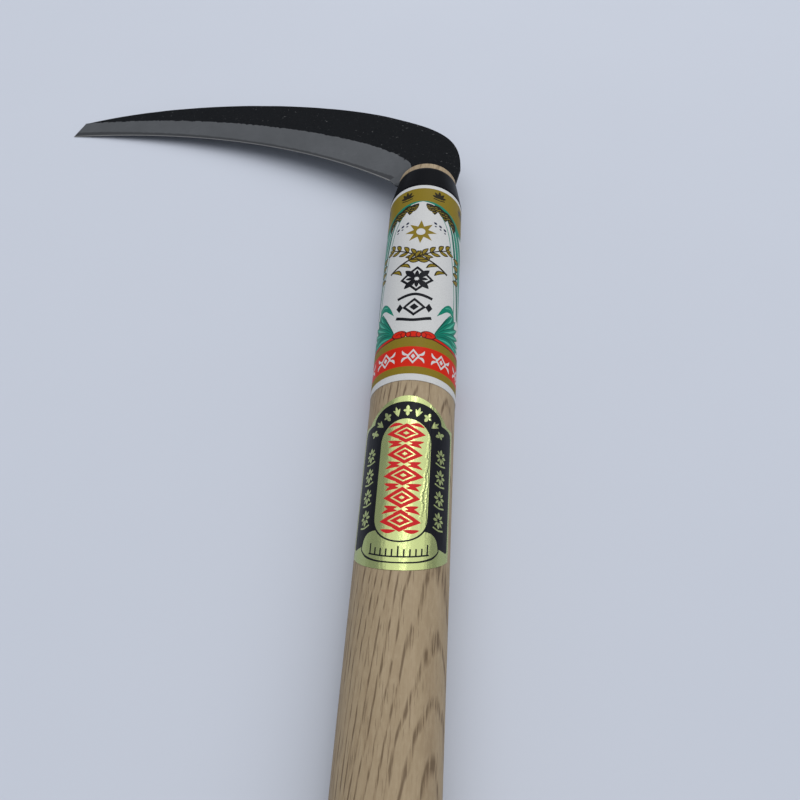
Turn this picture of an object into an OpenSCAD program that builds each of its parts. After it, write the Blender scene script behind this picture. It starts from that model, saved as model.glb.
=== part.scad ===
// Hand sickle: a single-bevel forged blade let into a turned oak handle, held by a
// steel ferrule and two nails, with a printed sleeve and a foil sticker on the handle.
// The origin is the centre of the handle's butt face. +Y runs up the handle to the head,
// the blade reaches out to -X, and +Z is up. The sickle lies with its tip on the table.

/* [Handle] */
// Length of the wood
handle_l = 345; // [280:1:400]
// Diameter of the grip
handle_d = 29; // [26:0.5:33]
// Diameter of the wood where it leaves the ferrule
neck_end_d = 24; // [20:0.2:24]
// Width of the chamfer round the butt
butt_chamfer = 2; // [0.5:0.5:4]
// How far the wood stands out of the ferrule
wood_proud = 3.4; // [1:0.2:6]

/* [Ferrule] */
// Length of the ferrule along the handle
ferrule_l = 13.3; // [10:0.1:20]
// Outer diameter at the grip end
ferrule_d = 29.4; // [28:0.2:34]
// Outer diameter at the blade end
ferrule_end_d = 25; // [24:0.2:27]
// Wall of the ferrule at the blade end
ferrule_t = 0.5; // [0.5:0.1:1.2]

/* [Blade] */
// Distance of the tip from the handle's centre line
blade_reach = 172; // [150:1:190]
// Thickness of the plate at the neck
blade_t = 3.2; // [2.4:0.1:3.4]
// Thickness of the plate at the tip, above the bevel
tip_t = 1.7; // [1.2:0.1:2.2]
// Thickness left along the sharp edge
edge_t = 0.2; // [0.1:0.05:0.4]
// Length of the straight cut at the tip
tip_cut = 9; // [6:0.5:12]
// Width of the hard steel strip along the edge
steel_w = 3.2; // [2:0.2:5]

/* [Tang] */
// Length of the tang in the handle
tang_l = 78; // [60:1:90]
// Width of the tang at the shoulder
tang_w = 16; // [12:0.5:18]
// Width of the tang at its end
tang_end_w = 9; // [6:0.5:11]
// How much deeper than the tang the slot is
slot_over = 6; // [2:1:10]

/* [Nails] */
// Diameter of the two nails through handle and tang
nail_d = 3; // [2:0.25:4]
// Distance of the first nail from the wood's end
nail_first = 34; // [24:1:40]
// Spacing of the two nails
nail_gap = 26; // [18:1:32]

/* [Sleeve] */
// Length of the printed sleeve
sleeve_l = 95.7; // [80:0.1:110]
// Thickness of the printed sleeve
sleeve_t = 0.15; // [0.1:0.05:0.3]

/* [Sticker] */
// Height of the foil sticker along the handle
sticker_h = 59.5; // [50:0.5:70]
// Angle that the sticker covers round the handle
sticker_angle = 142; // [100:1:170]
// Gap between the sticker and the sleeve
sticker_gap = 6.2; // [3:0.2:12]
// Thickness of the foil
sticker_t = 0.2; // [0.1:0.05:0.3]

/* [Hidden] */

$fn = 96;
curve_steps = 34;      // straight pieces in each long curve of the blade's outline
corner_steps = 10;     // straight pieces in the blade's back corner
bevel_steps = 25;      // rings along the ground bevel
over = 2;              // how far a cutting shape runs past what it cuts

handle_r = handle_d / 2;
sleeve_r = handle_r + sleeve_t;
rest_r = max(sleeve_r, ferrule_d / 2);
ferrule_y = handle_l - wood_proud - ferrule_l;
sleeve_y = ferrule_y - sleeve_l;
sticker_top_y = sleeve_y - sticker_gap;
sticker_turn = -4;     // the sticker sits a little round towards the blade's side
sticker_steps = 40;    // flat strips round the sticker
shoulder_drop = 8;     // from the top of the sticker's arch to its shoulders
foot_bow = 7;          // how far the sticker's foot bows down in the middle

// The flat lower face of the blade touches the table at the tip.
blade_tilt = asin((rest_r - blade_t / 2) / blade_reach);
flat_z = -blade_t / 2;
top_z = blade_t / 2;

// Blade outline, as distance out from the axis and distance past the wood's end.
neck_half = 11.5;
heel_low = [13.2, 1.6];
heel = [17, 5.8];
tip = [blade_reach, 41.6];
tip_top = tip + tip_cut * [-cos(61), sin(61)];
back_low = [-13.7, 11];
shoulder = [13.5, 44];
edge_curve = [heel, [0.28 * blade_reach, 26], [0.58 * blade_reach, 44.6], tip];
spine_curve = [shoulder, [0.29 * blade_reach, 60.5], [0.69 * blade_reach, 66], tip_top];
back_curve = [back_low, [-13.7, 30], [-3.5, 36.5], shoulder];
bevel_curve = [[7.6, 11.5], [9, 24.5], [0.49 * blade_reach, 55.5], tip_top];

function bezier(p, t) =
    pow(1 - t, 3) * p[0] + 3 * pow(1 - t, 2) * t * p[1]
    + 3 * (1 - t) * t * t * p[2] + pow(t, 3) * p[3];
function bezier_points(p, n) = [for (i = [0 : n]) bezier(p, i / n)];
function reversed(list) = [for (i = [len(list) - 1 : -1 : 0]) list[i]];
function unit(v) = v / norm(v);

// Height of the plate's upper face, which falls away towards the tip.
taper_from = 22;
taper_slope = (blade_t - tip_t) / (tip_top.x - taper_from);
function upper_z(x) = top_z - max(0, x - taper_from) * taper_slope;

tang_outline = [
    [-tang_w / 2, 0],
    [-tang_end_w / 2, -tang_l],
    [tang_end_w / 2, -tang_l],
    [tang_w / 2, 0]
];
blade_outline = concat(
    tang_outline,
    [[neck_half, 0], heel_low],
    bezier_points(edge_curve, curve_steps),
    reversed(bezier_points(spine_curve, curve_steps)),
    reversed([for (i = [0 : corner_steps - 1]) bezier(back_curve, i / corner_steps)]),
    [[-13, 1.5], [-neck_half, 0]]
);

// Points given as distance out, distance past the wood's end and height over the
// blade's middle plane are carried into the sickle's own frame.
module in_blade_frame() {
    translate([0, handle_l, 0])
        rotate([0, -blade_tilt, 0])
            mirror([1, 0, 0])
                children();
}

// A closed skin over a row of rings that all have the same number of points.
module loft(rings) {
    sides = len(rings[0]);
    last = len(rings) - 1;
    polyhedron(
        points = [for (ring = rings) each ring],
        faces = concat(
            [[for (j = [0 : sides - 1]) j]],
            [for (i = [0 : last - 1], j = [0 : sides - 1])
                let (k = (j + 1) % sides)
                    [i * sides + j, (i + 1) * sides + j, (i + 1) * sides + k, i * sides + k]],
            [[for (j = [sides - 1 : -1 : 0]) last * sides + j]]
        ),
        convexity = 6
    );
}

// One ring of the bevel's cutting shape: from beyond the edge to beyond the grind line.
function bevel_ring(low, high, low_z, high_z) =
    let (run = 0.25 * (high - low), rise = 0.25 * (high_z - low_z))
    [
        [low.x - run.x, low.y - run.y, low_z - rise],
        [high.x + run.x, high.y + run.y, high_z + rise],
        [high.x + run.x, high.y + run.y, top_z + 4],
        [low.x - run.x, low.y - run.y, top_z + 4]
    ];

// The bevel's rings: it fades in over the neck and then follows the edge to the tip.
bevel_fade = [
    for (f = [0 : 0.25 : 0.75])
        bevel_ring(
            [12, -1] + f * (heel - [12, -1]),
            [6.2, 2] + f * (bevel_curve[0] - [6.2, 2]),
            top_z + 0.1 - f * (blade_t - edge_t + 0.1),
            top_z + 0.1 * (1 - f)
        )
];
bevel_main = [
    for (i = [0 : bevel_steps + 1])
        let (low = bezier(edge_curve, i / bevel_steps), high = bezier(bevel_curve, i / bevel_steps))
            bevel_ring(low, high, flat_z + edge_t, upper_z(high.x))
];

// Everything above the upper face where the plate thins towards the tip.
module taper_cutter() {
    reach = blade_reach + over;
    translate([0, 80, 0])
        rotate([90, 0, 0])
            linear_extrude(80)
                polygon([
                    [taper_from, top_z],
                    [reach, upper_z(reach)],
                    [reach, top_z + over],
                    [taper_from, top_z + over]
                ]);
}

// The blade as forged and ground, with its tang.
module blade_blank() {
    difference() {
        translate([0, 0, flat_z])
            linear_extrude(blade_t)
                polygon(blade_outline);
        taper_cutter();
        loft(concat(bevel_fade, bevel_main));
    }
}

// The hard steel: a strip along the whole edge, forge-welded to the softer body.
function edge_offset(t, inward) =
    let (along = unit(bezier(edge_curve, t + 0.01) - bezier(edge_curve, t - 0.01)))
        bezier(edge_curve, t) + inward * [-along.y, along.x];
module steel_zone() {
    steps = [for (t = [0.02 : 0.04 : 1.06]) t];
    translate([0, 0, flat_z - over])
        linear_extrude(blade_t + 2 * over)
            polygon(concat(
                [for (t = steps) edge_offset(t, -over)],
                reversed([for (t = steps) edge_offset(t, steel_w)])
            ));
}

// Both nails stand square to the blade's plane, number 0 nearest to the blade.
module nail_shape(number, length) {
    in_blade_frame()
        translate([0, -nail_first - number * nail_gap, -length / 2])
            cylinder(d = nail_d, h = length, $fn = 48);
}
module nail_holes() {
    for (number = [0, 1])
        nail_shape(number, handle_d + 2 * over);
}

module blade_body() {
    color([0.13, 0.14, 0.15])
        difference() {
            in_blade_frame()
                difference() {
                    blade_blank();
                    steel_zone();
                }
            nail_holes();
        }
}

module edge_steel() {
    color([0.45, 0.46, 0.47])
        in_blade_frame()
            intersection() {
                blade_blank();
                steel_zone();
            }
}

// Stands a turned profile up along the handle: radius first, then distance from the butt.
module turned() {
    rotate([-90, 0, 0])
        rotate_extrude()
            children();
}

// The tang's slot is the tang's own outline, carried a little deeper.
module tang_slot() {
    translate([0, 0, flat_z])
        linear_extrude(blade_t)
            polygon([
                [-tang_w / 2, over],
                [-tang_w / 2, 0],
                [-tang_end_w / 2, -tang_l],
                [-tang_end_w / 2, -tang_l - slot_over],
                [tang_end_w / 2, -tang_l - slot_over],
                [tang_end_w / 2, -tang_l],
                [tang_w / 2, 0],
                [tang_w / 2, over]
            ]);
}

module handle() {
    neck_r = ferrule_end_d / 2 - ferrule_t;
    neck_base_r = ferrule_d / 2 - 2 * ferrule_t;
    color([0.66, 0.58, 0.48])
        difference() {
            turned()
                polygon([
                    [0, 0],
                    [handle_r - butt_chamfer, 0],
                    [handle_r, butt_chamfer],
                    [handle_r, ferrule_y],
                    [neck_base_r, ferrule_y],
                    [neck_r, ferrule_y + ferrule_l],
                    [neck_end_d / 2, ferrule_y + ferrule_l + 0.6],
                    [neck_end_d / 2, handle_l - 0.5],
                    [neck_end_d / 2 - 0.5, handle_l],
                    [0, handle_l]
                ]);
            in_blade_frame()
                tang_slot();
            nail_holes();
        }
}

module ferrule() {
    color([0.07, 0.07, 0.08])
        turned()
            polygon([
                [ferrule_d / 2 - 2 * ferrule_t, ferrule_y],
                [ferrule_d / 2, ferrule_y],
                [ferrule_d / 2, ferrule_y + 1],
                [ferrule_end_d / 2, ferrule_y + ferrule_l - 0.4],
                [ferrule_end_d / 2 - 0.4, ferrule_y + ferrule_l],
                [ferrule_end_d / 2 - ferrule_t, ferrule_y + ferrule_l]
            ]);
}

module tang_nail(number) {
    color([0.6, 0.6, 0.62])
        intersection() {
            nail_shape(number, handle_d);
            turned()
                translate([0, ferrule_y - sleeve_l])
                    square([handle_r, sleeve_l]);
        }
}
module tang_nail_head_end() {
    tang_nail(0);
}
module tang_nail_grip_end() {
    tang_nail(1);
}

module label_sleeve() {
    color([0.8, 0.8, 0.79])
        turned()
            translate([handle_r, sleeve_y])
                square([sleeve_t, sleeve_l]);
}

// The sticker's arched top and bowed foot, with f running from -1 to 1 across its width.
function sticker_top(f) = sticker_top_y - shoulder_drop * min(1, pow(f / 0.8, 2));
function sticker_foot(f) = sticker_top_y - sticker_h + foot_bow * f * f;

// One slice of the foil. Its inner corners stand off so that the flats touch the wood.
function sticker_ring(f) =
    let (
        turn = sticker_turn + f * sticker_angle / 2,
        inner_r = handle_r / cos(sticker_angle / sticker_steps / 2),
        outer_r = inner_r + sticker_t
    )
    [
        for (p = [[inner_r, sticker_foot(f)], [inner_r, sticker_top(f)],
                  [outer_r, sticker_top(f)], [outer_r, sticker_foot(f)]])
            [p[0] * sin(turn), p[1], p[0] * cos(turn)]
    ];

module foil_sticker() {
    color([0.68, 0.70, 0.52])
        loft([for (i = [0 : sticker_steps]) sticker_ring(2 * i / sticker_steps - 1)]);
}

blade_body();
edge_steel();
handle();
ferrule();
tang_nail_head_end();
tang_nail_grip_end();
label_sleeve();
foil_sticker();
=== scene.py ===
"""Hand sickle: forged blade, oak handle, black ferrule, printed sleeve and foil sticker."""

import math

import bmesh
import bpy
import numpy as np
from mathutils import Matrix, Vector, noise
from mathutils.geometry import delaunay_2d_cdt


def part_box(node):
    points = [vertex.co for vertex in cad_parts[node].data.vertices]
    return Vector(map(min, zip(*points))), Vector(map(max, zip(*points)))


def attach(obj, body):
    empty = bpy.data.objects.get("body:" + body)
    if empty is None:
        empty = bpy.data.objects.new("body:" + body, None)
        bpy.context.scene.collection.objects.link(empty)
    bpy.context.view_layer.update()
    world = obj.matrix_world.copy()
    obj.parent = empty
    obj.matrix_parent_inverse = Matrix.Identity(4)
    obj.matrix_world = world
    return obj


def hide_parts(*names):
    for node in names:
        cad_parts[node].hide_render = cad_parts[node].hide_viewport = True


MM = 0.001

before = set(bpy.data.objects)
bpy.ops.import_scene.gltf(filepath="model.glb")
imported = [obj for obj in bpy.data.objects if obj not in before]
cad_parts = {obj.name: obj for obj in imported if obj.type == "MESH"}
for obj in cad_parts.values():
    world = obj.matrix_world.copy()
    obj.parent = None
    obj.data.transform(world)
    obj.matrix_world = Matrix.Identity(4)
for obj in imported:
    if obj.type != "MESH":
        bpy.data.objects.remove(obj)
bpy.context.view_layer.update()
scene = bpy.context.scene

# ---------------- camera

# Fitted to the rings round the handle and to the blade's tip.
CAMERA_AT = Vector((5.4, 85.6, 218.1)) * MM
CAMERA_TILT = math.radians(34.35)
CAMERA_TURN = math.radians(3.79)
LENS = 34.5
SENSOR_WIDTH = 36


def add_camera():
    data = bpy.data.cameras.new("camera")
    data.lens = LENS
    data.sensor_width = SENSOR_WIDTH
    data.clip_start = 0.01
    camera = bpy.data.objects.new("camera", data)
    camera.location = CAMERA_AT
    camera.rotation_euler = (CAMERA_TILT, 0, CAMERA_TURN)
    scene.collection.objects.link(camera)
    scene.camera = camera


add_camera()

# ---------------- node helpers


class Nodes:
    """A material's node tree, with one short call for each node."""

    def __init__(self, name):
        self.material = bpy.data.materials.new(name)
        self.material.use_nodes = True
        self.tree = self.material.node_tree
        self.shader = self.tree.nodes["Principled BSDF"]

    def add(self, kind, inputs=None, **settings):
        node = self.tree.nodes.new(kind)
        for key, value in settings.items():
            setattr(node, key, value)
        for key, value in (inputs or {}).items():
            self.put(node, key, value)
        return node

    def put(self, node, key, value):
        if isinstance(value, bpy.types.NodeSocket):
            self.tree.links.new(value, node.inputs[key])
        else:
            node.inputs[key].default_value = value

    def surface(self, **inputs):
        for key, value in inputs.items():
            self.put(self.shader, key.replace("_", " "), value)

    def place(self, stretch):
        """Position in the row frame, in metres, stretched before a texture reads it."""
        coords = self.add("ShaderNodeTexCoord")
        mapping = self.add("ShaderNodeMapping", {"Vector": coords.outputs["Object"], "Scale": stretch})
        return mapping.outputs["Vector"]

    def noise(self, stretch, detail=4, rough=0.55, distortion=0.0, where=None):
        node = self.add(
            "ShaderNodeTexNoise",
            {
                "Vector": where or self.place(stretch),
                "Scale": 1.0,
                "Detail": detail,
                "Roughness": rough,
                "Distortion": distortion,
            },
        )
        return node.outputs["Fac"]

    def ramp(self, fac, *stops):
        node = self.add("ShaderNodeValToRGB", {"Fac": fac})
        ramp = node.color_ramp
        while len(ramp.elements) < len(stops):
            ramp.elements.new(0.5)
        for element, (at, colour) in zip(ramp.elements, stops):
            element.position = at
            element.color = grey(colour)
        return node.outputs["Color"]

    def span(self, value, low, high, to_low=0.0, to_high=1.0):
        node = self.add(
            "ShaderNodeMapRange",
            {"Value": value, "From Min": low, "From Max": high, "To Min": to_low, "To Max": to_high},
        )
        return node.outputs["Result"]

    def math(self, operation, a, b=0.0):
        node = self.add("ShaderNodeMath", {0: a, 1: b}, operation=operation)
        return node.outputs["Value"]

    def mix(self, fac, a, b):
        node = self.add("ShaderNodeMix", {"Factor": fac}, data_type="RGBA")
        self.put(node, 6, grey(a))
        self.put(node, 7, grey(b))
        return node.outputs[2]

    def attribute(self, name):
        return self.add("ShaderNodeAttribute", attribute_name=name).outputs["Fac"]

    def bump(self, height, distance, strength=1.0, under=None):
        node = self.add("ShaderNodeBump", {"Height": height, "Distance": distance, "Strength": strength})
        if under is not None:
            self.put(node, "Normal", under)
        return node.outputs["Normal"]


def grey(colour):
    """A colour socket's value: a single number stands for a grey."""
    if isinstance(colour, bpy.types.NodeSocket):
        return colour
    if isinstance(colour, (int, float)):
        return (colour, colour, colour, 1.0)
    return (*colour, 1.0)


# ---------------- materials

# The handle's growth rings: direction and distance of the tree's centre, its slant, and a year's width.
PITH_WAY = (0.77, 0.64)
PITH_AWAY = 0.045
PITH_TILT = 0.09
RING_WIDTH = 0.0017

WOOD_TONES = (0.30, 0.22, 0.133), (0.35, 0.265, 0.162), (0.40, 0.305, 0.195)
FIBRE_TONE = (0.25, 0.178, 0.102)
FLECK_TONE = (0.46, 0.365, 0.24)
EARLY_WOOD_TONE = (0.215, 0.145, 0.076)
PORE_TONE = (0.105, 0.065, 0.033)

PAINT_TONE, WORN_TONE = (0.0045, 0.0048, 0.006), (0.10, 0.10, 0.105)
SCALE_TONES = (0.0045, 0.0052, 0.0065), (0.013, 0.014, 0.016)
CHIP_TONE = 0.22
GROUND_TONES = (0.072, 0.076, 0.082), (0.112, 0.117, 0.125)
GROUND_CLOUD_TONE = (0.082, 0.086, 0.092)
HARD_STEEL_TONE = (0.038, 0.040, 0.044)
HONED_TONE = 0.17
TABLE_TONES = (0.545, 0.575, 0.645), (0.565, 0.595, 0.665)

FILM_ROUGH = 0.34
GOLD_ROUGH = 0.42
BLACK_GLOSS = 0.02


def from_pith(n, coordinate, drift, way):
    """Distance from the tilted pith along one axis."""
    leaned = n.math("SUBTRACT", coordinate, n.math("MULTIPLY", drift, way))
    return n.math("ADD", leaned, PITH_AWAY * way)


def oak():
    """Flat-sawn oak: growth rings round a tilted pith, with open pores along each ring."""
    n = Nodes("oak")
    split = n.add("ShaderNodeSeparateXYZ", {"Vector": n.place((1, 1, 1))})
    x, y, z = split.outputs["X"], split.outputs["Y"], split.outputs["Z"]
    drift = n.math("MULTIPLY", y, PITH_TILT)
    dx = from_pith(n, x, drift, PITH_WAY[0])
    dz = from_pith(n, z, drift, PITH_WAY[1])
    radius = n.math("SQRT", n.math("ADD", n.math("MULTIPLY", dx, dx), n.math("MULTIPLY", dz, dz)))
    waver = n.math("SUBTRACT", n.noise((70, 18, 70), detail=3), 0.5)
    rings = n.math("ADD", n.math("DIVIDE", radius, RING_WIDTH), n.math("MULTIPLY", waver, 2.6))
    ring = n.math("PINGPONG", rings, 0.5)
    early = n.span(ring, 0.17, 0.05)
    dashes = n.span(n.noise((1500, 95, 1500), detail=2, rough=0.5), 0.44, 0.56)
    stray = n.span(n.noise((1900, 120, 1900), detail=2, rough=0.5), 0.62, 0.70)
    pores = n.math("MAXIMUM", n.math("MULTIPLY", early, dashes), n.math("MULTIPLY", stray, 0.55))
    cloud = n.noise((150, 14, 150), detail=4, distortion=0.5)
    fibre = n.noise((2600, 60, 2600), detail=5, rough=0.7)
    fleck = n.span(n.noise((900, 340, 900), detail=3, rough=0.6), 0.42, 0.66)
    wood = n.ramp(cloud, *zip((0.3, 0.5, 0.72), WOOD_TONES))
    wood = n.mix(n.span(fibre, 0.3, 0.75, 0.0, 0.5), wood, FIBRE_TONE)
    wood = n.mix(n.math("MULTIPLY", fleck, 0.22), wood, FLECK_TONE)
    wood = n.mix(n.math("MULTIPLY", early, 0.25), wood, EARLY_WOOD_TONE)
    wood = n.mix(n.math("MULTIPLY", pores, 0.78), wood, PORE_TONE)
    normal = n.bump(n.math("SUBTRACT", n.math("MULTIPLY", fibre, 0.35), pores), 0.00015, 0.6)
    n.surface(
        Base_Color=wood,
        Roughness=n.span(cloud, 0.2, 0.8, 0.66, 0.52),
        Specular_IOR_Level=0.3,
        Normal=normal,
    )
    return n.material


def black_paint():
    """Satin black paint, worn where the wear attribute is high."""
    n = Nodes("black_paint")
    cloud = n.noise((180, 180, 180))
    grain = n.noise((3200, 3200, 3200), detail=3)
    worn = n.math("MULTIPLY", n.attribute("wear"), n.span(cloud, 0.35, 0.65))
    n.surface(
        Base_Color=n.mix(n.math("MULTIPLY", worn, 0.55), PAINT_TONE, WORN_TONE),
        Roughness=n.span(cloud, 0.3, 0.7, 0.30, 0.42),
        Specular_IOR_Level=BLACK_GLOSS,
        Normal=n.bump(grain, 0.00003, 0.35),
    )
    return n.material


def forged_blade():
    """Black forge scale, and grey ground metal where the grind attribute is negative."""
    n = Nodes("forged_blade")
    ragged = n.math("SUBTRACT", n.noise((520, 520, 520), detail=5, rough=0.7), 0.5)
    line = n.math("ADD", n.attribute("grind"), n.math("MULTIPLY", ragged, 5.0))
    scale = n.span(line, -0.1, 0.15)
    hammer = n.noise((120, 120, 120), detail=2)
    crust = n.noise((1500, 1500, 1500), detail=6, rough=0.75)
    chips = n.span(n.noise((620, 800, 620), detail=5, rough=0.8), 0.645, 0.675)
    black = n.mix(n.span(crust, 0.3, 0.75), *SCALE_TONES)
    black = n.mix(n.math("MULTIPLY", chips, 0.7), black, CHIP_TONE)
    ground, ground_rough = ground_metal(n)
    dents = n.bump(hammer, 0.0009, 0.35)
    n.surface(
        Base_Color=n.mix(scale, ground, black),
        Metallic=n.math("SUBTRACT", 0.85, n.math("MULTIPLY", scale, 0.85)),
        Roughness=n.math("ADD", ground_rough, n.math("MULTIPLY", scale, 0.05)),
        Specular_IOR_Level=BLACK_GLOSS,
        Normal=n.bump(n.math("MULTIPLY", crust, scale), 0.00008, 0.6, dents),
    )
    return n.material


def ground_metal(n):
    """Colour and roughness of the ground face: streaks that cross the bevel."""
    where = n.add("ShaderNodeUVMap", uv_map="blade_mm").outputs["UV"]
    stretch = n.add("ShaderNodeMapping", {"Vector": where, "Scale": (2.2, 0.16, 1)}).outputs["Vector"]
    streaks = n.noise(None, detail=6, rough=0.7, where=stretch)
    cloud = n.noise((60, 60, 60), detail=3)
    tone = n.mix(n.span(streaks, 0.25, 0.75), *GROUND_TONES)
    tone = n.mix(n.span(cloud, 0.35, 0.7), tone, GROUND_CLOUD_TONE)
    return tone, n.span(streaks, 0.2, 0.8, 0.44, 0.56)


def edge_metal():
    """The hard steel strip, darker than the body, with a bright honed line at the edge."""
    n = Nodes("edge_metal")
    edge = n.attribute("edge_mm")
    tone, roughness = ground_metal(n)
    ragged = n.math("MULTIPLY", n.math("SUBTRACT", n.noise((400, 400, 400), detail=4), 0.5), 1.6)
    hard = n.span(n.math("ADD", edge, ragged), 3.2, 2.4)
    tone = n.mix(n.math("MULTIPLY", hard, 0.95), tone, HARD_STEEL_TONE)
    honed = n.span(edge, 0.62, 0.32)
    n.surface(
        Base_Color=n.mix(honed, tone, HONED_TONE),
        Metallic=0.8,
        Roughness=n.math("SUBTRACT", roughness, n.math("MULTIPLY", honed, 0.08)),
    )
    return n.material


def bare_steel():
    """Plain wire of the tang nails."""
    n = Nodes("bare_steel")
    cloud = n.noise((900, 900, 900))
    n.surface(
        Base_Color=n.mix(cloud, 0.32, 0.5),
        Metallic=1.0,
        Roughness=n.span(cloud, 0, 1, 0.3, 0.5),
    )
    return n.material


def film_ink(name, colour, rough):
    """One printed colour on the glossy film: slight mottle and a fine skin."""
    n = Nodes(name)
    mottle = n.noise((2600, 2600, 2600), detail=3)
    cloud = n.noise((110, 110, 110), detail=2)
    darker = tuple(0.86 * c for c in colour)
    n.surface(
        Base_Color=n.mix(n.span(mottle, 0.3, 0.7), darker, colour),
        Roughness=n.span(cloud, 0.3, 0.7, rough - 0.05, rough + 0.07),
        Specular_IOR_Level=0.06,
        Normal=n.bump(mottle, 0.00002, 0.25),
    )
    return n.material


def crease(n, u, v, at, lean, sway, width):
    """Height of a wandering fold that runs along the sticker at the given place across it."""
    place = n.add("ShaderNodeCombineXYZ", {"X": at * 3.1, "Y": n.math("MULTIPLY", v, 0.22)})
    wander = n.noise(None, detail=4, rough=0.7, where=place.outputs["Vector"])
    middle = n.math("ADD", n.math("MULTIPLY", v, lean), at - sway / 2)
    middle = n.math("ADD", middle, n.math("MULTIPLY", wander, sway))
    away = n.math("ABSOLUTE", n.math("SUBTRACT", u, middle))
    return n.span(away, width, 0.0)


def foil_ink(name, colour, metallic, rough):
    """One printed colour on the foil, over the foil's folds and ripples."""
    n = Nodes(name)
    where = n.add("ShaderNodeUVMap", uv_map="print_mm").outputs["UV"]
    split = n.add("ShaderNodeSeparateXYZ", {"Vector": where})
    u, v = split.outputs["X"], split.outputs["Y"]
    long_fold = crease(n, u, v, 5.2, 0.055, 4.2, 0.55)
    fine_fold = crease(n, u, v, 7.6, 0.0, 2.2, 0.4)
    folds = n.math("ADD", long_fold, fine_fold)
    ripple = n.noise((330, 120, 330), detail=4)
    leather = n.noise((2400, 2400, 2400), detail=3)
    normal = n.bump(ripple, 0.0004, 0.5)
    normal = n.bump(n.math("MULTIPLY", folds, n.span(v, 8, 22)), 0.00018, 0.8, normal)
    normal = n.bump(leather, 0.00003, 0.3, normal)
    darker = tuple(0.9 * c for c in colour)
    n.surface(
        Base_Color=n.mix(ripple, darker, colour),
        Metallic=metallic,
        Roughness=n.span(leather, 0.2, 0.8, rough - 0.04, rough + 0.05),
        Specular_IOR_Level=0.12,
        Normal=normal,
    )
    return n.material


def table_top():
    """The plain pale table."""
    n = Nodes("table_top")
    cloud = n.noise((9, 9, 9), detail=3)
    n.surface(
        Base_Color=n.mix(cloud, *TABLE_TONES),
        Roughness=0.8,
        Specular_IOR_Level=0.2,
    )
    return n.material


# ---------------- mesh helpers


def add_piece(name, mesh, node, materials):
    """A piece of the visual model that stands in for one CAD node."""
    for material in materials:
        mesh.materials.append(material)
    piece = bpy.data.objects.new(name, mesh)
    scene.collection.objects.link(piece)
    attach(piece, "root")
    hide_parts(node)
    return piece


def smooth(mesh):
    mesh.polygons.foreach_set("use_smooth", [True] * len(mesh.polygons))


def ring_faces(rings, sides):
    """The quads between rings of vertices that follow one another."""
    faces = []
    for j in range(rings - 1):
        for i in range(sides):
            k = (i + 1) % sides
            faces.append((j * sides + i, (j + 1) * sides + i, (j + 1) * sides + k, j * sides + k))
    return faces


def turned_mesh(name, profile, sides=160, wobble=0.0):
    """A shape turned round the handle's axis from (radius, distance from the butt) in mm."""
    verts = []
    for radius, along in profile:
        for i in range(sides):
            a = math.tau * i / sides
            r = radius
            if wobble:
                r -= wobble * (0.5 + noise.noise(Vector((math.cos(a), along * 0.02, math.sin(a)))))
            verts.append((r * math.sin(a) * MM, along * MM, r * math.cos(a) * MM))
    mesh = bpy.data.meshes.new(name)
    mesh.from_pydata(verts, [], ring_faces(len(profile), sides))
    smooth(mesh)
    return mesh


def rounded(profile, radius, steps=5):
    """The profile with every inner corner replaced by a short arc."""
    out = [profile[0]]
    for before, corner, after in zip(profile, profile[1:], profile[2:]):
        c, p, q = Vector(corner), Vector(before), Vector(after)
        r = min(radius, (p - c).length * 0.45, (q - c).length * 0.45)
        start = c + (p - c).normalized() * r
        end = c + (q - c).normalized() * r
        for i in range(steps + 1):
            t = i / steps
            out.append(tuple(start * (1 - t) ** 2 + c * 2 * t * (1 - t) + end * t * t))
    out.append(profile[-1])
    return out


def finer(profile, step):
    """The profile with long stretches split, so that a wobble can bend them."""
    out = []
    for a, b in zip(profile, profile[1:]):
        parts = max(1, math.ceil(math.dist(a, b) / step))
        out += [tuple(Vector(a).lerp(Vector(b), i / parts)) for i in range(parts)]
    return out + [profile[-1]]


# ---------------- handle and ferrule


def span_mm(node):
    """Low and high corner of a CAD node's box, in millimetres."""
    low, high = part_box(node)
    return low / MM, high / MM


handle_high = span_mm("handle")[1]
ferrule_low, ferrule_high = span_mm("ferrule")
sleeve_low, sleeve_high = span_mm("label_sleeve")
sticker_low, sticker_high = span_mm("foil_sticker")
HANDLE_R = handle_high.x
HEAD_Y = handle_high.y
NECK_R = 12.0
FERRULE_R = ferrule_high.x
FERRULE_END_R = 12.5
SLEEVE_R = sleeve_high.x
AXIS_R = 0.01  # a hair off the axis, so that the end faces close without a pole


def add_handle():
    """The turned handle: chamfered butt, round grip, and a neck that passes through the ferrule."""
    profile = rounded(
        [
            (AXIS_R, 0.0),
            (HANDLE_R - 2.0, 0.0),
            (HANDLE_R - 0.65, 0.65),
            (HANDLE_R, 2.0),
            (HANDLE_R, ferrule_low.y),
            (HANDLE_R - 1.6, ferrule_low.y + 0.1),
            (NECK_R, ferrule_high.y),
            (NECK_R, HEAD_Y),
            (AXIS_R, HEAD_Y),
        ],
        0.4,
    )
    mesh = turned_mesh("handle_wood", finer(profile, 6.0), wobble=0.03)
    add_piece("handle_wood", mesh, "handle", [oak()])


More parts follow.
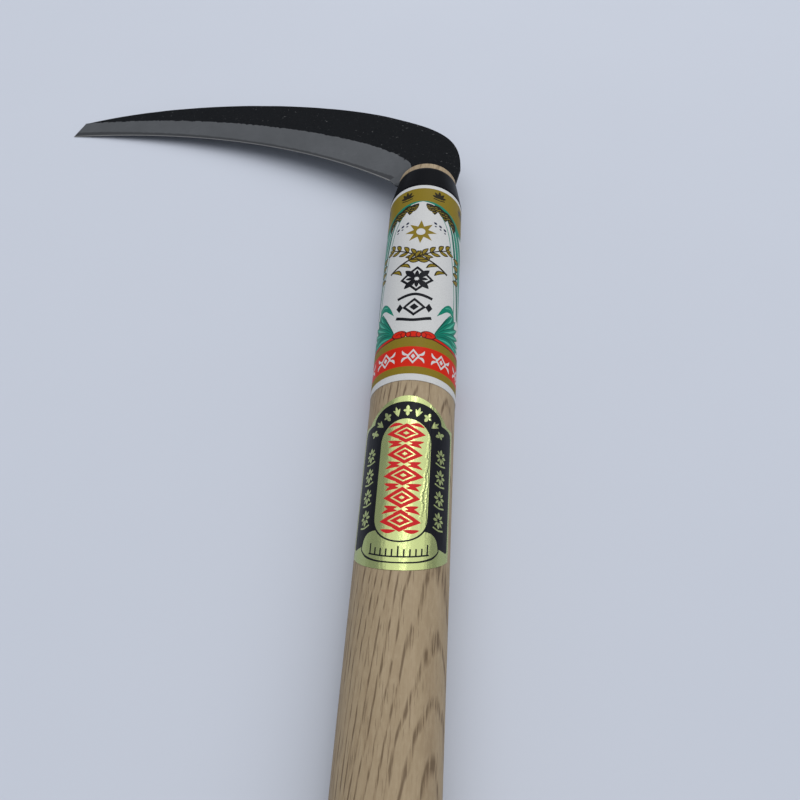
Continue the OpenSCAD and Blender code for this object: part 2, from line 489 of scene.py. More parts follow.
def add_ferrule():
    """The tapered collar, worn at its upper rim."""
    outer = rounded(
        [
            (FERRULE_R - 1.7, ferrule_low.y),
            (FERRULE_R, ferrule_low.y),
            (FERRULE_R - 0.02, ferrule_low.y + 1.2),
            (FERRULE_END_R, ferrule_high.y),
            (NECK_R + 0.05, ferrule_high.y),
            (NECK_R + 0.05, ferrule_high.y - 1.5),
        ],
        0.45,
    )
    mesh = turned_mesh("ferrule_collar", finer(outer, 1.0))
    rim = ferrule_high.y
    wear = [math.exp(-abs(v.co.y / MM - rim) / 0.35) for v in mesh.vertices]
    mesh.attributes.new("wear", "FLOAT", "POINT").data.foreach_set("value", wear)
    add_piece("ferrule_collar", mesh, "ferrule", [black_paint()])


# ---------------- blade

BLADE_REACH = 172.0
BLADE_T = 3.2
TIP_T = 1.7
EDGE_T = 0.2
STEEL_W = 3.2
TAPER_FROM = 22.0
FLAT_Z = -BLADE_T / 2
TOP_Z = BLADE_T / 2
ROUNDING = 0.45
CORNER = 0.12
# The tip drops until it rests at the ferrule's level.
BLADE_TILT = math.asin((FERRULE_R + FLAT_Z) / BLADE_REACH)

# Outline in millimetres: distance out from the axis, then distance past the wood's end.
HEEL = Vector((17.0, 5.8))
TIP = Vector((BLADE_REACH, 41.6))
TIP_TOP = TIP + 9.0 * Vector((-math.cos(math.radians(61)), math.sin(math.radians(61))))
SHOULDER = Vector((13.5, 44.0))
EDGE_CURVE = [HEEL, Vector((0.28 * BLADE_REACH, 26)), Vector((0.58 * BLADE_REACH, 44.6)), TIP]
SPINE_CURVE = [SHOULDER, Vector((0.29 * BLADE_REACH, 60.5)), Vector((0.69 * BLADE_REACH, 66)), TIP_TOP]
BACK_CURVE = [SHOULDER, Vector((-3.5, 36.5)), Vector((-13.7, 30)), Vector((-13.7, 11))]
BEVEL_CURVE = [Vector((7.6, 11.5)), Vector((9, 24.5)), Vector((0.49 * BLADE_REACH, 55.5)), TIP_TOP]
HEEL_PATH = [HEEL, Vector((15.6, 4.2)), Vector((13.2, 1.6)), Vector((11.5, 0.0)), Vector((11.0, -1.0))]
BEVEL_PATH = [BEVEL_CURVE[0], Vector((6.8, 7)), Vector((6.2, 2)), Vector((5.8, 0)), Vector((5.8, -1.0))]

BLADE_STEPS = 150
NECK_STEPS = 40
BEVEL_CUTS = 14
FACE_CUTS = 14
BLADE_LENGTH = 170.0


def bezier(p, t):
    """The point at t on a cubic curve with four control points."""
    s = 1 - t
    return s**3 * p[0] + 3 * s * s * t * p[1] + 3 * s * t * t * p[2] + t**3 * p[3]


def along(path, t):
    """The point a fraction t of the way along a polyline."""
    place = min(max(t, 0.0), 1.0) * (len(path) - 1)
    i = min(int(place), len(path) - 2)
    return path[i].lerp(path[i + 1], place - i)


def back_point(t):
    """Down the back of the neck: the round corner first, then straight to the wood."""
    if t < 0.7:
        return bezier(BACK_CURVE, t / 0.7)
    return BACK_CURVE[3].lerp(Vector((-11.4, -1.0)), (t - 0.7) / 0.3)


def upper_z(x):
    """Height of the upper face: the plate thins towards the tip."""
    return TOP_Z - max(0.0, x - TAPER_FROM) * (BLADE_T - TIP_T) / (TIP_TOP.x - TAPER_FROM)


def station(t):
    """Edge, grind line and spine points and edge height; t is -1 in wood, 0 at the heel, 1 at the tip."""
    if t >= 0:
        return bezier(EDGE_CURVE, t), bezier(BEVEL_CURVE, t), bezier(SPINE_CURVE, t), FLAT_Z + EDGE_T
    fade = min(1.0, max(0.0, (t + 0.8) / 0.45))
    low = TOP_Z - (TOP_Z - FLAT_Z - EDGE_T) * fade
    return along(HEEL_PATH, -t), along(BEVEL_PATH, -t), back_point(-t), low


def across(t, steel_only):
    """One closed ring round the blade at t: (plan point, height, distance from the edge, grind)."""
    edge, bevel, spine, edge_z = station(t)
    width = (bevel - edge).length
    start = STEEL_W / width if t >= 0 and width > STEEL_W else 0.0
    ring = []

    def point(p, z, side):
        """side is -1 on the ground bevel and 1 on the black faces."""
        ring.append((p, z, (p - edge).length, side * (p - bevel).length))

    first, last = (0.0, start) if steel_only else (start, 1.0)
    for i in range(BEVEL_CUTS + 1):
        f = first + (last - first) * i / BEVEL_CUTS
        point(edge.lerp(bevel, f), edge_z + (upper_z(bevel.x) - edge_z) * f, -1)
    far = edge.lerp(bevel, start) if steel_only else spine
    if not steel_only:
        inward = (bevel - spine).normalized() * ROUNDING
        for i in range(1, FACE_CUTS + 1):
            p = bevel.lerp(spine + inward, i / FACE_CUTS)
            point(p, upper_z(p.x), 1)
        point(spine + inward * 0.25, upper_z(spine.x) - CORNER, 1)
        point(spine, upper_z(spine.x) - ROUNDING, 1)
        point(spine, FLAT_Z + ROUNDING, 1)
        point(spine + inward * 0.25, FLAT_Z + CORNER, 1)
        far = spine + inward
    near = edge.lerp(bevel, first)
    for i in range(FACE_CUTS + 1):
        point(far.lerp(near, i / FACE_CUTS), FLAT_Z, -1 if steel_only else 1)
    return ring


def hammered(p, z, grind):
    """Forging leaves the black faces slightly uneven."""
    if grind < 0 or abs(z) <= 0.3:
        return z
    depth = 0.10 * min(1.0, grind / 3.0)
    dent = noise.noise(Vector((p.x, p.y, z * 4)) * 0.11)
    return z - math.copysign(depth * (0.5 + dent), z)


def blade_mesh(name, stations, steel_only):
    """The rings at the stations, joined, closed at both ends and tilted down to the table."""
    cos_t, sin_t = math.cos(BLADE_TILT), math.sin(BLADE_TILT)
    verts, edge_mm, grind_mm, flat_uv = [], [], [], []
    rings = [across(t, steel_only) for t in stations]
    sides = len(rings[0])
    for t, ring in zip(stations, rings):
        for p, z, away, grind in ring:
            z = hammered(p, z, grind)
            out, up = p.x * cos_t + z * sin_t, z * cos_t - p.x * sin_t
            verts.append((-out * MM, (HEAD_Y + p.y) * MM, up * MM))
            edge_mm.append(away)
            grind_mm.append(grind)
            flat_uv.append((t * BLADE_LENGTH, away))
    faces = ring_faces(len(rings), sides)
    faces.append(tuple(range(sides)))
    faces.append(tuple((len(rings) - 1) * sides + i for i in reversed(range(sides))))
    mesh = bpy.data.meshes.new(name)
    mesh.from_pydata(verts, [], faces)
    mesh.attributes.new("edge_mm", "FLOAT", "POINT").data.foreach_set("value", edge_mm)
    mesh.attributes.new("grind", "FLOAT", "POINT").data.foreach_set("value", grind_mm)
    uv = mesh.uv_layers.new(name="blade_mm")
    for loop in mesh.loops:
        uv.data[loop.index].uv = flat_uv[loop.vertex_index]
    tidy = bmesh.new()
    tidy.from_mesh(mesh)
    bmesh.ops.remove_doubles(tidy, verts=tidy.verts, dist=1e-6)
    bmesh.ops.recalc_face_normals(tidy, faces=tidy.faces)
    tidy.to_mesh(mesh)
    tidy.free()
    smooth(mesh)
    mesh.set_sharp_from_angle(angle=math.radians(28))
    return mesh


def add_blade():
    """The forged body with its neck, and the hard steel laid along the edge."""
    main = [i / BLADE_STEPS for i in range(BLADE_STEPS + 1)]
    neck = [-1 + i / NECK_STEPS for i in range(NECK_STEPS)]
    last_of_neck = -1e-6
    body = blade_mesh("forged_blade", neck + [last_of_neck] + main, False)
    add_piece("forged_blade", body, "blade_body", [forged_blade()])
    steel = blade_mesh("steel_edge", main, True)
    add_piece("steel_edge", steel, "edge_steel", [edge_metal()])


# ---------------- flat shapes for the printing


def disc(x, y, rx, ry=None, count=24):
    """A circle, or an oval where ry is given."""
    ry = rx if ry is None else ry
    turns = [math.tau * i / count for i in range(count)]
    return [(x + rx * math.cos(a), y + ry * math.sin(a)) for a in turns]


def lozenge(x, y, rx, ry):
    return [(x + rx, y), (x, y + ry), (x - rx, y), (x, y - ry)]


def box(left, low, right, high):
    return [(left, low), (right, low), (right, high), (left, high)]


def leaf(base, tip, width, bend=0.0, count=9):
    """A pointed leaf from base to tip, with its middle pushed aside by bend."""
    a, b = Vector(base), Vector(tip)
    side = Vector((-(b - a).y, (b - a).x)).normalized()
    left, right = [], []
    for i in range(count + 1):
        t = i / count
        middle = a.lerp(b, t) + side * bend * math.sin(math.pi * t)
        half = side * (width / 2 * math.sin(math.pi * t) ** 0.8)
        left.append(tuple(middle + half))
        right.append(tuple(middle - half))
    return left + right[-2:0:-1]


def curve_through(points, parts=6):
    """A smooth polyline through the points."""
    out = []
    pts = [Vector(p) for p in points]
    for i in range(len(pts) - 1):
        p0, p1, p2, p3 = pts[max(i - 1, 0)], pts[i], pts[i + 1], pts[min(i + 2, len(pts) - 1)]
        for k in range(parts):
            t = k / parts
            square = 2 * p0 - 5 * p1 + 4 * p2 - p3
            cube = 3 * p1 - p0 - 3 * p2 + p3
            out.append(0.5 * (2 * p1 + (p2 - p0) * t + square * t * t + cube * t**3))
    return out + [pts[-1]]


def stroke(points, width, end_width=None):
    """A brush stroke along a smooth line, from one width to the other."""
    end_width = width if end_width is None else end_width
    line = curve_through(points)
    left, right = [], []
    for i, p in enumerate(line):
        ahead = line[min(i + 1, len(line) - 1)] - line[max(i - 1, 0)]
        side = Vector((-ahead.y, ahead.x)).normalized()
        half = (width + (end_width - width) * i / (len(line) - 1)) / 2
        left.append(tuple(p + side * half))
        right.append(tuple(p - side * half))
    return left + right[::-1]


def petals(x, y, inner, outer, count=8):
    """A pointed rosette."""
    out = []
    for i in range(2 * count):
        a = math.pi * i / count + math.pi / 2
        r = outer if i % 2 == 0 else inner
        out.append((x + r * math.cos(a), y + r * math.sin(a)))
    return out


def mirrored(shapes):
    """The shapes and their mirror images."""
    return shapes + [(ink, [(-x, y) for x, y in reversed(points)]) for ink, points in shapes]


# ---------------- printed sheets


def inside(points, x, y):
    """Which of the places x, y lie inside the polygon."""
    result = np.zeros(len(x), bool)
    for (ax, ay), (bx, by) in zip(points, points[1:] + points[:1]):
        if ay == by:
            continue
        crosses = (ay > y) != (by > y)
        result ^= crosses & (x < (bx - ax) * (y - ay) / (by - ay) + ax)
    return result


def ink_numbers(centre, shapes, order):
    """Which ink each triangle has: the last shape that covers its centre, or the first ink."""
    ink = np.zeros(len(centre), int)
    for colour, points in shapes:
        low, high = np.min(points, 0), np.max(points, 0)
        near = np.nonzero(((centre >= low) & (centre <= high)).all(1))[0]
        hit = near[inside(points, centre[near, 0], centre[near, 1])]
        ink[hit] = order.index(colour)
    return ink


def fold_rim(sheet, inner):
    """Give the sheet its thickness: a wall from its rim down to the wood."""
    rim = [e for e in sheet.edges if e.is_boundary]
    wall = bmesh.ops.extrude_edge_only(sheet, edges=rim)["geom"]
    for v in wall:
        if isinstance(v, bmesh.types.BMVert):
            scale = inner / math.hypot(v.co.x / MM, v.co.z / MM)
            v.co.x *= scale
            v.co.z *= scale


def shade_round(mesh):
    """Smooth shading as on a cylinder, with the rim's wall left sharp."""
    smooth(mesh)
    flat_normals = [p.normal.copy() for p in mesh.polygons]
    normals = []
    for polygon, normal in zip(mesh.polygons, flat_normals):
        for i in polygon.vertices:
            co = mesh.vertices[i].co
            out = Vector((co.x, 0, co.z)).normalized()
            normals.append(out if normal.dot(out) > 0.7 else normal)
    mesh.normals_split_custom_set(normals)


def printed_mesh(name, outline, shapes, grid, wrap, radius, inks):
    """One thin sheet, cut along the edges of every printed shape and rolled round the handle."""
    verts, edges = [], []

    def add_line(points, closed):
        first = len(verts)
        verts.extend(Vector(p) for p in points)
        edges.extend((first + i, first + i + 1) for i in range(len(points) - 1))
        if closed:
            edges.append((len(verts) - 1, first))

    add_line(outline, True)
    for line in grid:
        add_line(line, False)
    for _, points in shapes:
        add_line(points, True)
    flat, _, triangles, _, _, _ = delaunay_2d_cdt(verts, edges, [], 0, 1e-4)
    centre = np.array([[sum(flat[i][k] for i in t) / 3 for k in (0, 1)] for t in triangles])
    ink = ink_numbers(centre, shapes, list(inks))
    kept = inside(outline, centre[:, 0], centre[:, 1])
    sheet = bmesh.new()
    uv = sheet.loops.layers.uv.new("print_mm")
    corners = [sheet.verts.new(wrap(p[0], p[1], radius)) for p in flat]
    for t, colour, keep in zip(triangles, ink, kept):
        if not keep:
            continue
        face = sheet.faces.new([corners[i] for i in t])
        face.material_index = int(colour)
        for loop, i in zip(face.loops, t):
            loop[uv].uv = flat[i]
    bmesh.ops.delete(sheet, geom=[v for v in sheet.verts if not v.link_faces], context="VERTS")
    bmesh.ops.remove_doubles(sheet, verts=sheet.verts, dist=2e-7)
    bmesh.ops.dissolve_degenerate(sheet, edges=sheet.edges, dist=1e-7)
    fold_rim(sheet, HANDLE_R)
    bmesh.ops.recalc_face_normals(sheet, faces=sheet.faces)
    mesh = bpy.data.meshes.new(name)
    sheet.to_mesh(mesh)
    sheet.free()
    shade_round(mesh)
    return mesh


# ---------------- printed sleeve

PRINT_TURN = -4.0
SLEEVE_LENGTH = sleeve_high.y - sleeve_low.y
DEG = SLEEVE_R * math.pi / 180  # millimetres round the sleeve for one degree
BACK = 180 * DEG
RED_LOW, RED_HIGH = 5.6, 14.0
GOLD_LOW, GOLD_HIGH = 87.1, 93.9
FIELD_LOW = 18.3
SLEEVE_INKS = {
    "white": (0.60, 0.60, 0.59),
    "gold": (0.23, 0.165, 0.015),
    "dark": (0.022, 0.017, 0.007),
    "red": (0.60, 0.018, 0.006),
    "maroon": (0.11, 0.010, 0.008),
    "teal": (0.006, 0.20, 0.13),
    "teal_pale": (0.07, 0.42, 0.29),
    "teal_dark": (0.004, 0.065, 0.05),
    "navy": (0.015, 0.02, 0.05),
    "black": (0.006, 0.007, 0.010),
}


def at(degrees, y):
    """A place on the sleeve: degrees round from the middle of the print, and mm up the sleeve."""
    return (degrees * DEG, y)


def path(*places):
    """Several such places."""
    return [at(*p) for p in places]


def top_edge(degrees):
    """Lower edge of the gold band: it arches over the white field."""
    return max(GOLD_LOW - 0.6 - 7.0 * (degrees / 68) ** 2, 79.0)


def bands():
    """The coloured bands at both ends of the sleeve, and the teal line under the gold arch."""
    arch = [at(d, top_edge(d)) for d in range(-180, 181, 5)]
    green = [at(d, top_edge(d)) for d in range(-84, 85, 4)]
    green += [at(d, top_edge(d) - 0.3 - 2.4 * min(1, abs(d) / 50)) for d in range(84, -85, -4)]
    return [
        ("gold", box(-BACK, 2.6, BACK, RED_LOW)),
        ("red", box(-BACK, RED_LOW, BACK, RED_HIGH)),
        ("gold", box(-BACK, RED_HIGH, BACK, FIELD_LOW)),
        ("gold", arch + [at(180, GOLD_HIGH), at(-180, GOLD_HIGH)]),
        ("teal", green),
    ]


def band_palmettes():
    """Dark palmettes on the top gold band."""
    shapes = []
    first, spacing = -26, 51.4
    for i in range(7):
        x, y = at(first + spacing * (i - 3), 89.0)
        for degrees in (-78, -42, 0, 42, 78):
            a = math.radians(degrees)
            way = Vector((math.sin(a) * 3.0, math.cos(a) * 3.6 + 0.5))
            shapes.append(("dark", leaf((x, y), Vector((x, y)) + way, 1.25)))
        shapes.append(("dark", stroke([(x - 2.4, y - 0.5), (x, y - 1.0), (x + 2.4, y - 0.5)], 0.5)))
    return shapes


def red_band_motifs():
    """White open lozenges between curled leaves along the red band."""
    middle = (RED_LOW + RED_HIGH) / 2
    shapes = []
    for i in range(9):
        x = (-160 + 40 * i + 1.5) * DEG
        shapes += [
            ("white", lozenge(x, middle, 2.3, 3.1)),
            ("red", lozenge(x, middle, 1.5, 2.15)),
            ("white", lozenge(x, middle, 0.75, 1.1)),
        ]
        for side in (-1, 1):
            for lift in (-1, 1):
                root = (x + side * 1.5, middle + lift * 0.5)
                tip = (x + side * 3.9, middle + lift * 2.6)
                shapes.append(("white", leaf(root, tip, 0.95, -0.7 * side * lift)))
    return shapes


def leaf_clusters():
    """Dark gold leaves that hang from the arch on both sides."""
    shapes = []
    for i in range(8):
        d = 8 + 6.0 * i
        droop = 5.4 + 1.3 * math.sin(i * 2.1) + 0.03 * d
        root = Vector(at(d - 2, top_edge(d) - 1.2))
        tip = Vector(at(d + 5.5, top_edge(d) - droop))
        shapes.append(("dark", leaf(root, tip, 3.0, 0.7)))
        for part in (0.30, 0.52, 0.74):
            vein = root.lerp(tip, part)
            shapes.append(("gold", leaf(vein, vein + Vector((0.75, -0.35)), 0.42)))
            shapes.append(("gold", leaf(vein, vein + Vector((-0.55, -0.7)), 0.42)))
    return mirrored(shapes)


def side_strands():
    """Teal ribbons and hairlines that climb both sides of the white field."""
    inner = path((40, 79.5), (49, 74.5), (56, 66), (62, 56), (68, 46), (72, 34))
    outer = path((108, 34), (106, 48), (97, 61), (83, 71), (63, 78.5), (48, 81.5))
    band = [tuple(p) for p in curve_through(inner) + curve_through(outer)]
    strands = [
        ("white", [(45, 79), (56, 73), (64, 64), (71, 54), (78, 43), (82, 34)], 0.25, 1.2),
        ("white", [(58, 77), (72, 69), (84, 58), (92, 46), (97, 34)], 0.3, 1.1),
        ("teal_dark", [(42, 79), (52, 73.4), (59.5, 65), (66, 55), (72, 44), (76, 34)], 0.3, 0.7),
        ("teal_pale", [(60, 75), (70, 66), (78, 55), (84, 44), (88, 34)], 0.3, 0.9),
        ("teal", [(27, 81), (38, 76.5), (46, 71), (53, 62), (59, 52), (63, 43), (63, 35)], 0.3, 0.5),
    ]
    shapes = [("teal", band)]
    for ink, places, width, end_width in strands:
        shapes.append((ink, stroke(path(*places), width, end_width)))
    return mirrored(shapes)


def curled_leaves():
    """A teal crescent at the top of each bunch."""
    outer = path((31, 29.0), (38, 33.0), (47, 36.2), (56, 37.2), (63, 35.6), (66.5, 30.5), (67, 25))
    inner = path((62.5, 26), (62, 31), (57, 33.6), (48, 33.2), (39, 31.0), (31, 29.0))
    crescent = [tuple(p) for p in curve_through(outer) + curve_through(inner)]
    shapes = [
        ("teal", crescent),
        ("teal_pale", stroke(path((45, 34.6), (55, 35.8), (62, 34.4)), 0.35)),
    ]
    return mirrored(shapes)


def leaf_bunches():
    """Fans of leaves tied together at the foot of the white field."""
    shapes = []
    upper_tips = [(50, 31.0), (57, 33.5), (64, 34.5), (71, 33), (77, 30.0)]
    lower_tips = [(82, 26.5), (85, 23.2), (85, 20.6), (78, 18.9)]
    for i, (degrees, y) in enumerate(upper_tips + lower_tips):
        root = Vector(at(28, 20.3 - 0.14 * i))
        tip = Vector(at(degrees, y))
        bend = -1.2 + 0.24 * i
        shapes.append(("teal_dark", leaf(root, tip, 3.0, bend)))
        shapes.append(("teal", leaf(root, tip, 2.5, bend)))
        shapes.append(("teal_pale", leaf(root.lerp(tip, 0.12), root.lerp(tip, 0.94), 0.75, bend)))
    return mirrored(shapes)


def red_tie():
    """The red knot between the bunches, with a ribbon that runs out on both sides."""
    shapes = mirrored(
        [
            ("maroon", stroke(path((22, 18.9), (38, 18.2), (56, 17.9), (76, 17.9), (96, 18.2)), 1.7, 1.2)),
            ("red", stroke(path((22, 19.0), (38, 18.3), (56, 18.0), (76, 18.0), (95, 18.3)), 0.9, 0.6)),
            ("maroon", disc(*at(20, 19.5), 2.9, 1.75)),
            ("red", disc(*at(20, 19.6), 2.45, 1.35)),
            ("maroon", stroke(path((15, 19.3), (20, 20.0), (25, 19.3)), 0.25)),
        ]
    )
    shapes.append(("maroon", disc(*at(0, 19.3), 2.8, 1.45)))
    shapes.append(("red", disc(*at(0, 19.4), 2.4, 1.1)))
    for d in (-14, -7, 7, 14):
        shapes.append(("maroon", disc(*at(d, 19.2), 1.0, 1.25)))
        shapes.append(("red", disc(*at(d, 19.3), 0.7, 0.9)))
    return shapes


def rosette():
    """A gold rosette with pairs of small navy leaves on both sides of it."""
    x, y = at(0, 69.3)
    shapes = [("gold", petals(x, y, 3.0, 6.2)), ("white", disc(x, y, 1.75))]
    for side in (-1, 1):
        for k in range(3):
            drop = 0.9 * k
            for start, high, low, width in ((19, 75.2, 74.2, 1.1), (20, 73.2, 73.0, 0.7)):
                root = at(side * (start + 8 * k), high - drop)
                tip = at(side * (24 + 8 * k), low - drop)
                shapes.append(("navy", leaf(root, tip, width)))
    return shapes


def outlined_leaf(root, tip, width, bend=0.0):
    """A gold leaf with a dark outline."""
    root, tip = Vector(root), Vector(tip)
    return [
        ("dark", leaf(root, tip, width, bend)),
        ("gold", leaf(root.lerp(tip, 0.1), root.lerp(tip, 0.88), width * 0.58, bend)),
    ]


def grain_ears():
    """Two crossed ears of grain in gold, each grain with a dark outline, and leaves at both sides."""
    shapes = []
    for side in (-1, 1):
        stem = path((-45 * side, 50.6), (-20 * side, 54.0), (10 * side, 57.8), (45 * side, 63.0))
        line = curve_through(stem)
        shapes.append(("dark", stroke(stem, 1.0, 0.4)))
        for k in range(6):
            p = line[7 + 2 * k]
            way = (line[8 + 2 * k] - line[6 + 2 * k]).normalized()
            aside = Vector((-way.y, way.x))
            for flank in (-1, 1):
                shapes += outlined_leaf(p, p + way * 3.6 + aside * flank * 2.3, 1.9, 0.3 * flank)
        shapes += outlined_leaf(line[-2], line[-1] + (line[-1] - line[-4]) * 0.4, 1.7)
        for k in range(2):
            root = line[1 + 3 * k]
            shapes += outlined_leaf(root, root + Vector((side * 4.8, -3.4 + 1.2 * k)), 1.8, 0.9 * side)
    for side in (-1, 1):
        for k in range(4):
            root = at(side * 74, 63.0 - 3.4 * k)
            shapes += outlined_leaf(root, at(side * 57, 61.4 - 3.8 * k), 2.7, 0.7 * side)
    return shapes


def black_ornaments():
    """Two bold black ornaments: a quatrefoil of leaves, and nested lozenges between bars."""
    x, y = at(-1, 45.1)
    middle = Vector((x, y))
    shapes = [("black", lozenge(x, y, 6.3, 6.2)), ("white", lozenge(x, y, 4.9, 4.8))]
    for first, start, length, width in ((45, 0.5, 6.4, 2.5), (0, 0.4, 4.2, 1.5)):
        for quarter in range(4):
            a = math.radians(first + 90 * quarter)
            way = Vector((math.cos(a), math.sin(a)))
            shapes.append(("black", leaf(middle + way * start, middle + way * length, width)))
    shapes.append(("white", disc(x, y, 0.8)))
    x, y = at(-2, 31.7)
    for side in (-1, 1):
        bar = [(x - 6.4, y + side * 4.4), (x, y + side * 6.0), (x + 6.4, y + side * 4.4)]
        shapes.append(("black", stroke(bar, 1.3)))
        shapes.append(("black", lozenge(x + side * 5.3, y, 1.3, 2.1)))
    shapes += [
        ("black", lozenge(x, y, 4.3, 4.2)),
        ("white", lozenge(x, y, 2.9, 2.8)),
        ("black", lozenge(x, y, 1.7, 1.6)),
    ]
    return shapes


def back_rosettes():
    """Two columns of small rosettes down the side that faces away."""
    shapes = []
    for k in range(4):
        x, y = at(158, 28 + 14 * k)
        for place in (x, -x):
            shapes.append(("gold", petals(place, y, 1.7, 3.6)))
            shapes.append(("white", disc(place, y, 1.0)))
    return shapes


def roll_sleeve(x, y, radius):
    """From a place on the flat sleeve to the row frame, in metres."""
    a = x / SLEEVE_R + math.radians(PRINT_TURN)
    return (radius * math.sin(a) * MM, (sleeve_low.y + y) * MM, radius * math.cos(a) * MM)


def add_sleeve():
    """The printed film: shapes in the order of printing, later ones on top."""
    shapes = bands() + band_palmettes() + red_band_motifs() + side_strands() + leaf_clusters()
    shapes += curled_leaves() + leaf_bunches() + red_tie() + rosette() + grain_ears()
    shapes += black_ornaments() + back_rosettes()
    inks = {}
    for ink, colour in SLEEVE_INKS.items():
        inks[ink] = film_ink("film_" + ink, colour, GOLD_ROUGH if ink == "gold" else FILM_ROUGH)
    outline = [(-BACK, 0), (BACK, 0), (BACK, SLEEVE_LENGTH), (-BACK, SLEEVE_LENGTH)]
    grid = [[at(d, 0), at(d, SLEEVE_LENGTH)] for d in range(-177, 180, 3)]
    mesh = printed_mesh("label_print", outline, shapes, grid, roll_sleeve, SLEEVE_R, inks)
    add_piece("label_print", mesh, "label_sleeve", list(inks.values()))


# ---------------- foil sticker

STICKER_TURN = -4.0
STICKER_R = 14.62
STICKER_H = sticker_high.y - sticker_low.y
STICKER_DEG = STICKER_R * math.pi / 180
HALF_TURN = 71
HALF = HALF_TURN * STICKER_DEG
FOOT_RISE = 7
SHOULDER_DROP = 8
PANEL_R = 32.3 * STICKER_DEG
PANEL_LOW, PANEL_HIGH = 8.9, 50.6
COLUMN_X = 48.5 * STICKER_DEG


def foot_edge(f):
    """Height of the sticker's bowed foot, where f runs from -1 at one side to 1 at the other."""
    return FOOT_RISE * f * f


def arch_edge(f):
    """Height of the sticker's arched top."""
    return STICKER_H - SHOULDER_DROP * min(1.0, (f / 0.8) ** 2)


def sticker_outline():
    fractions = [i / 30 for i in range(-30, 31)]
    foot = [(f * HALF, foot_edge(f)) for f in fractions]
    top = [(f * HALF, arch_edge(f)) for f in reversed(fractions)]
    return foot + top


def black_field():
    """The black field: an arch, rounded shoulders, straight sides and a foot cut by the oval."""
    half = 67.4 * STICKER_DEG
    notch = 47 * STICKER_DEG
    turns = [math.radians(d) for d in range(-90, 91, 6)]
    arch = [(notch * math.sin(a), 50.9 + 6.3 * math.cos(a)) for a in turns]
    shoulder = [(notch + 0.2, 50.7), (half - 1.6, 50.5), (half - 0.4, 49.8), (half, 48.4)]
    right = shoulder + [(half, 9.6), (half - 0.8, 8.8)]
    left = [(-x, y) for x, y in reversed(right)]
    return arch + right + left


def stadium(half, low, high):
    """An upright panel with round ends."""
    ends = [math.radians(d) for d in range(0, 181, 10)]
    top = [(half * math.cos(a), high - half + half * math.sin(a)) for a in ends]
    foot = [(-half * math.cos(a), low + half - half * math.sin(a)) for a in ends]
    return top + foot


def size_oval(grow):
    """The oval under the panel, bowed along the sticker's foot."""
    half = 49.2 * STICKER_DEG + grow
    foot = [(0.0, 2.45 - grow), (half * 0.2, 2.6 - grow), (half * 0.5, 3.4 - grow)]
    side = [(half * 0.8, 5.3 - grow), (half * 0.98, 7.6), (half * 0.99, 8.9)]
    top = [(half * 0.93, 11.2 + grow), (half * 0.78, 12.6 + grow), (half * 0.5, 12.7 + grow)]
    points = [tuple(p) for p in curve_through(foot + side + top, 4)]
    return points + [(-x, y) for x, y in reversed(points[1:])]


def arch_ornaments():
    """Four-leaved and three-leaved foil flowers in turn along the black arch."""
    shapes = []
    for i in range(9):
        a = math.radians(-60 + 15 * i)
        middle = Vector((13.3 * math.sin(a), 40.2 + 13.5 * math.cos(a)))
        turn = Vector((math.cos(a), -math.sin(a)))
        out = Vector((math.sin(a), math.cos(a)))
        if i % 2 == 0:
            for way in (turn, -turn):
                shapes.append(("foil", leaf(middle, middle + way * 1.45, 0.95)))
            for way in (out, -out):
                shapes.append(("foil", leaf(middle, middle + way * 2.05, 1.15)))
        else:
            low = middle - out * 1.9
            for flank in (-1, 1):
                tip = middle + turn * flank * 1.2 + out * 0.9
                shapes.append(("foil", leaf(low, tip, 0.85, 0.3 * flank)))
            shapes.append(("foil", leaf(low, middle + out * 2.0, 0.9)))
    return shapes


def side_ornaments():
    """Four foil flowers down each side of the panel."""
    shapes = []
    for y in (39.4, 32.2, 25.0, 17.8):
        for x in (-COLUMN_X, COLUMN_X):
            middle = Vector((x, y))
            for k in range(8):
                a = math.tau * k / 8
                way = Vector((math.sin(a) * 2.1, math.cos(a) * 2.7))
                width = 1.0 if k % 2 == 0 else 0.65
                shapes.append(("foil", leaf(middle + way * 0.22, middle + way, width)))
            shapes.append(("foil", stroke([(x - 2.1, y - 2.7), (x, y - 3.2), (x + 2.1, y - 2.7)], 0.5)))
    return shapes


def red_column():
    """Five bold red ornaments down the panel: nested lozenges between pairs of leaves."""
    shapes = []
    for i in range(5):
        y = 45.2 - 7.5 * i
        reach = 6.3 if i % 2 == 0 else 5.7
        shapes += [
            ("red", lozenge(0, y, reach, 3.6)),
            ("foil", lozenge(0, y, reach * 0.62, 2.2)),
            ("red", lozenge(0, y, reach * 0.49, 1.7)),
            ("foil", lozenge(0, y, reach * 0.16, 0.6)),
        ]
        for side in (-1, 1):
            for lift in (-1, 1):
                root = (side * 1.0, y + lift * 3.1)
                tip = (side * (reach - 0.4), y + lift * 2.5)
                gap = [(side * 2.2, y + lift * 2.35), (side * 5.4, y + lift * 0.95)]
                shapes.append(("red", leaf(root, tip, 1.25, 0.5 * side * lift)))
                shapes.append(("foil", stroke(gap, 0.34)))
    return shapes


def scale_ticks():
    """A row of tick marks in the oval, on a line that bows with the foot."""
    shapes = []
    bow = 0.022
    for i in range(-5, 6):
        x = i * 1.75
        foot = 4.2 + bow * x * x
        height = 3.1 if i % 5 == 0 else 2.1
        shapes.append(("black", box(x - 0.24, foot, x + 0.24, foot + height)))
    base = [(x, 4.0 + bow * x * x) for x in (-9.3, -4.7, 0, 4.7, 9.3)]
    shapes.append(("black", stroke(base, 0.45)))
    return shapes


def roll_sticker(x, y, radius):
    """From a place on the flat sticker to the row frame, in metres; the foil ripples a little."""
    a = x / STICKER_R + math.radians(STICKER_TURN)
    r = radius + 0.045 * noise.noise(Vector((x * 0.22, y * 0.12, 3.7)))
    return (r * math.sin(a) * MM, (sticker_low.y + y) * MM, r * math.cos(a) * MM)


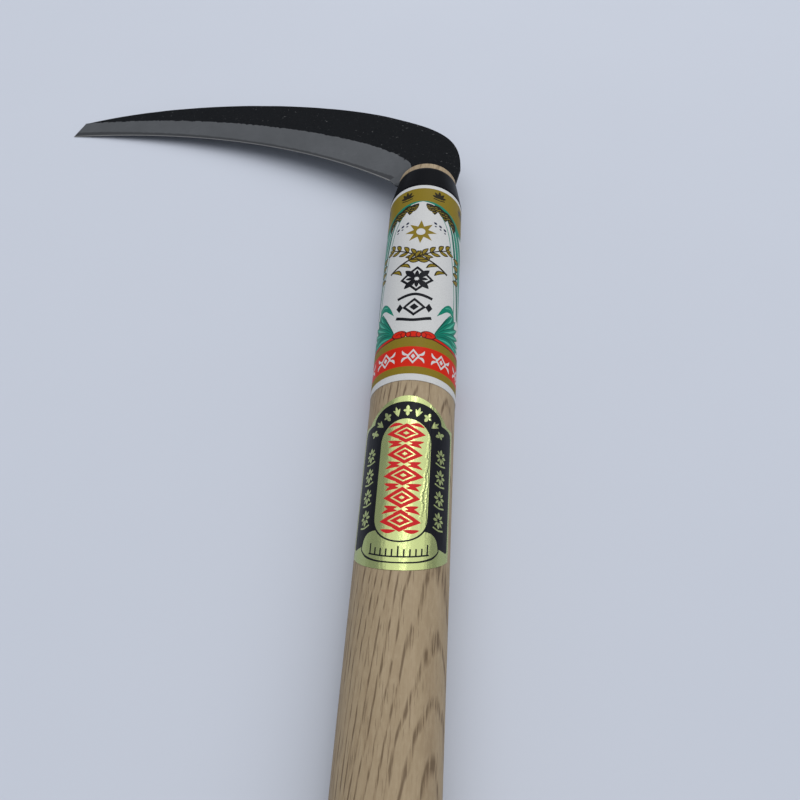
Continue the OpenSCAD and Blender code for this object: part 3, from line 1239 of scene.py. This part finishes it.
def add_sticker():
    """The foil sticker: shapes in the order of printing, later ones on top."""
    shapes = [
        ("black", black_field()),
        ("black", size_oval(0.45)),
        ("foil", size_oval(0.0)),
        ("black", stadium(PANEL_R + 0.5, PANEL_LOW - 0.5, PANEL_HIGH + 0.5)),
        ("foil", stadium(PANEL_R, PANEL_LOW, PANEL_HIGH)),
    ]
    shapes += arch_ornaments() + side_ornaments() + red_column() + scale_ticks()
    inks = {
        "foil": foil_ink("foil_gold", (0.48, 0.54, 0.23), 0.95, 0.27),
        "black": foil_ink("foil_black", (0.006, 0.0065, 0.010), 0.0, 0.34),
        "red": foil_ink("foil_red", (0.56, 0.016, 0.018), 0.1, 0.38),
    }
    grid = []
    for d in range(-69, 70, 3):
        f = d / HALF_TURN
        low, high = foot_edge(f), arch_edge(f)
        grid.append([(f * HALF, low + (high - low) * k / 30) for k in range(31)])
    outline = sticker_outline()
    mesh = printed_mesh("foil_print", outline, shapes, grid, roll_sticker, STICKER_R, inks)
    add_piece("foil_print", mesh, "foil_sticker", list(inks.values()))


# ---------------- nails

NAILS = ("tang_nail_head_end", "tang_nail_grip_end")


def dress_nails():
    """The nails keep their CAD shapes and get plain steel."""
    steel = bare_steel()
    for nail in NAILS:
        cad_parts[nail].data.materials.clear()
        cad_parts[nail].data.materials.append(steel)


# ---------------- table and light

TABLE_HALF = 3.0
SKY_COLOUR = (0.84, 0.90, 1.0, 1)
SKY_STRENGTH = 0.44
LIT_MIDDLE = (-0.03, 0.28, 0)
KEY_FROM = (0.26, 0.9, 1.85)
KEY_STRENGTH = 1.72
KEY_SPREAD = math.radians(100)
STRIP_FROM = (0.10, 0.85, 0.75)
STRIP_WATTS = 1.3
STRIP_WIDTH, STRIP_LENGTH = 0.10, 0.7


def add_floor():
    """The table, level with the lowest line of the ferrule."""
    mesh = bpy.data.meshes.new("table_top")
    corners = [(x, y, 0) for x, y in box(-TABLE_HALF, -TABLE_HALF, TABLE_HALF, TABLE_HALF)]
    mesh.from_pydata(corners, [], [(0, 1, 2, 3)])
    mesh.materials.append(table_top())
    floor = bpy.data.objects.new("table_top", mesh)
    floor.location.z = ferrule_low.z * MM
    scene.collection.objects.link(floor)


def add_light(name, kind, where, strength, colour, **settings):
    """A light that faces the middle of the sickle."""
    data = bpy.data.lights.new(name, kind)
    data.energy = strength
    data.color = colour
    for key, value in settings.items():
        setattr(data, key, value)
    light = bpy.data.objects.new(name, data)
    light.location = where
    light.rotation_euler = (Vector(LIT_MIDDLE) - Vector(where)).to_track_quat("-Z", "Y").to_euler()
    scene.collection.objects.link(light)


def add_lights():
    """A pale room, a broad soft key from above, and a strip that makes the handle's highlight."""
    world = bpy.data.worlds.new("soft_room")
    world.use_nodes = True
    sky = world.node_tree.nodes["Background"]
    sky.inputs["Color"].default_value = SKY_COLOUR
    sky.inputs["Strength"].default_value = SKY_STRENGTH
    scene.world = world
    add_light("key", "SUN", KEY_FROM, KEY_STRENGTH, (1.0, 0.99, 0.975), angle=KEY_SPREAD)
    strip = {"shape": "RECTANGLE", "size": STRIP_WIDTH, "size_y": STRIP_LENGTH}
    add_light("strip", "AREA", STRIP_FROM, STRIP_WATTS, (1.0, 1.0, 0.98), **strip)


# ---------------- the whole scene

add_handle()
add_ferrule()
add_blade()
add_sleeve()
add_sticker()
dress_nails()
add_floor()
add_lights()
scene.view_settings.view_transform = "Standard"
